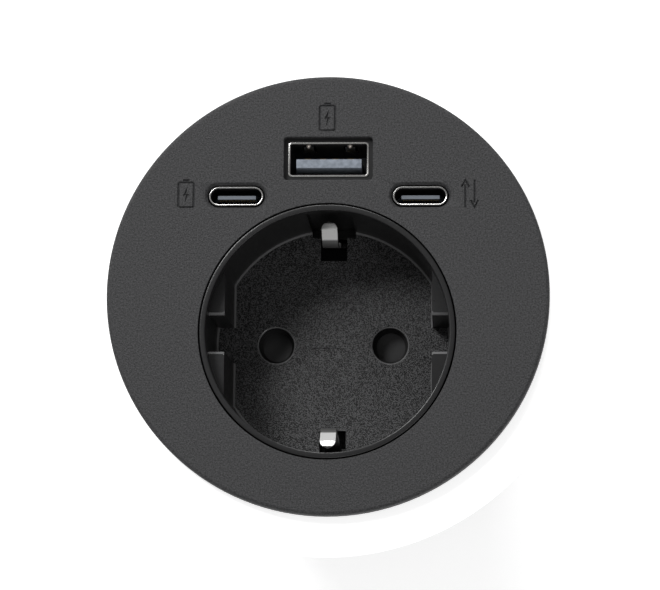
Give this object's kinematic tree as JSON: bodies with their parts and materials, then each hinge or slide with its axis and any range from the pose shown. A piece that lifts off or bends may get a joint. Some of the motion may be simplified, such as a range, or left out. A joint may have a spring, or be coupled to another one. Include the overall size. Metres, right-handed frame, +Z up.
{
  "type": "in-desk power module",
  "caption": "Round in-desk power module with a recessed earthed socket and charging ports, clamped in a desk hole by a ring nut under the top.",
  "frame": {"origin": "centre of the flange's underside, on the desk's surface", "axes": "+Z up out of the desk, +Y towards the USB ports, +X to the right seen from above"},
  "size_m": [0.072, 0.072, 0.0646],
  "materials": {
    "cover_plastic": "fine matt moulding texture",
    "insert_plastic": "satin, with a sanded floor",
    "barrel_plastic": "satin",
    "block_plastic": "plain",
    "shutter_plastic": "satin",
    "rubber": "matt",
    "plated_strip": "nickel plated",
    "contact_brass": "bare",
    "port_steel": "bright sheet",
    "tongue_plastic": "plain",
    "dark_tongue_plastic": "plain",
    "gold_contact": "plated",
    "screw_steel": "zinc plated",
    "spring_steel": "bright wire",
    "circuit_board": "glass laminate with solder mask",
    "ferrite": "matt grey-black",
    "winding_tape": "yellow tape over wire",
    "can_sleeve": "shrunk sleeve",
    "fuse_body": "plain",
    "chip_plastic": "plain"
  },
  "bodies": {
    "root": {"face_cover": "cover_plastic", "housing_barrel": "barrel_plastic", "base_cap": "barrel_plastic", "base_screws": "screw_steel", "mains_grommet": "rubber", "data_grommet": "rubber", "socket_insert": "insert_plastic", "insert_screws": "screw_steel", "contact_base": "block_plastic", "block_screws": "screw_steel", "live_contact": "contact_brass", "neutral_contact": "contact_brass", "terminal_screws": "screw_steel", "earth_bracket": "plated_strip", "shutter_spring": "spring_steel", "usb_a_shell": "port_steel", "usb_a_tongue": "tongue_plastic", "usb_a_contacts": "gold_contact", "usb_c_left_shell": "port_steel", "usb_c_left_tongue": "dark_tongue_plastic", "usb_c_left_contacts": "gold_contact", "usb_c_right_shell": "port_steel", "usb_c_right_tongue": "dark_tongue_plastic", "usb_c_right_contacts": "gold_contact", "port_board": "circuit_board", "port_screws": "screw_steel", "riser_board": "circuit_board", "power_board": "circuit_board", "transformer_core": "ferrite", "transformer_winding": "winding_tape", "bulk_capacitor": "can_sleeve", "output_capacitors": "can_sleeve", "choke": "ferrite", "fuse": "fuse_body", "rectifier": "chip_plastic", "controller_chip": "chip_plastic"},
    "shutter": {"shutter": "shutter_plastic"},
    "washer": {"clamp_washer": "rubber"},
    "nut": {"clamp_nut": "barrel_plastic"}
  },
  "joints": [
    {"name": "shutter_turn", "type": "hinge", "parent": "root", "child": "shutter", "pos_m": [0, -0.00605, -0.0189], "axis": [0, 0, 1], "range_deg": [0, 38], "stiffness_Nm_per_rad": 0.002, "springref_deg": -28.65, "deforming": ["shutter_spring"]},
    {"name": "washer_slide", "type": "slide", "parent": "root", "child": "washer", "axis": [0, 0, 1], "range_m": [-0.0251, 0.0151]},
    {"name": "nut_turn", "type": "hinge", "parent": "washer", "child": "nut", "pos_m": [0, 0, -0.0256], "axis": [0, 0, 1], "range_deg": [-2250, 1350]}
  ],
  "couplings": [
    {"joint": "washer_slide", "follows": "nut_turn", "m_per_rad": 0.00063662}
  ]
}
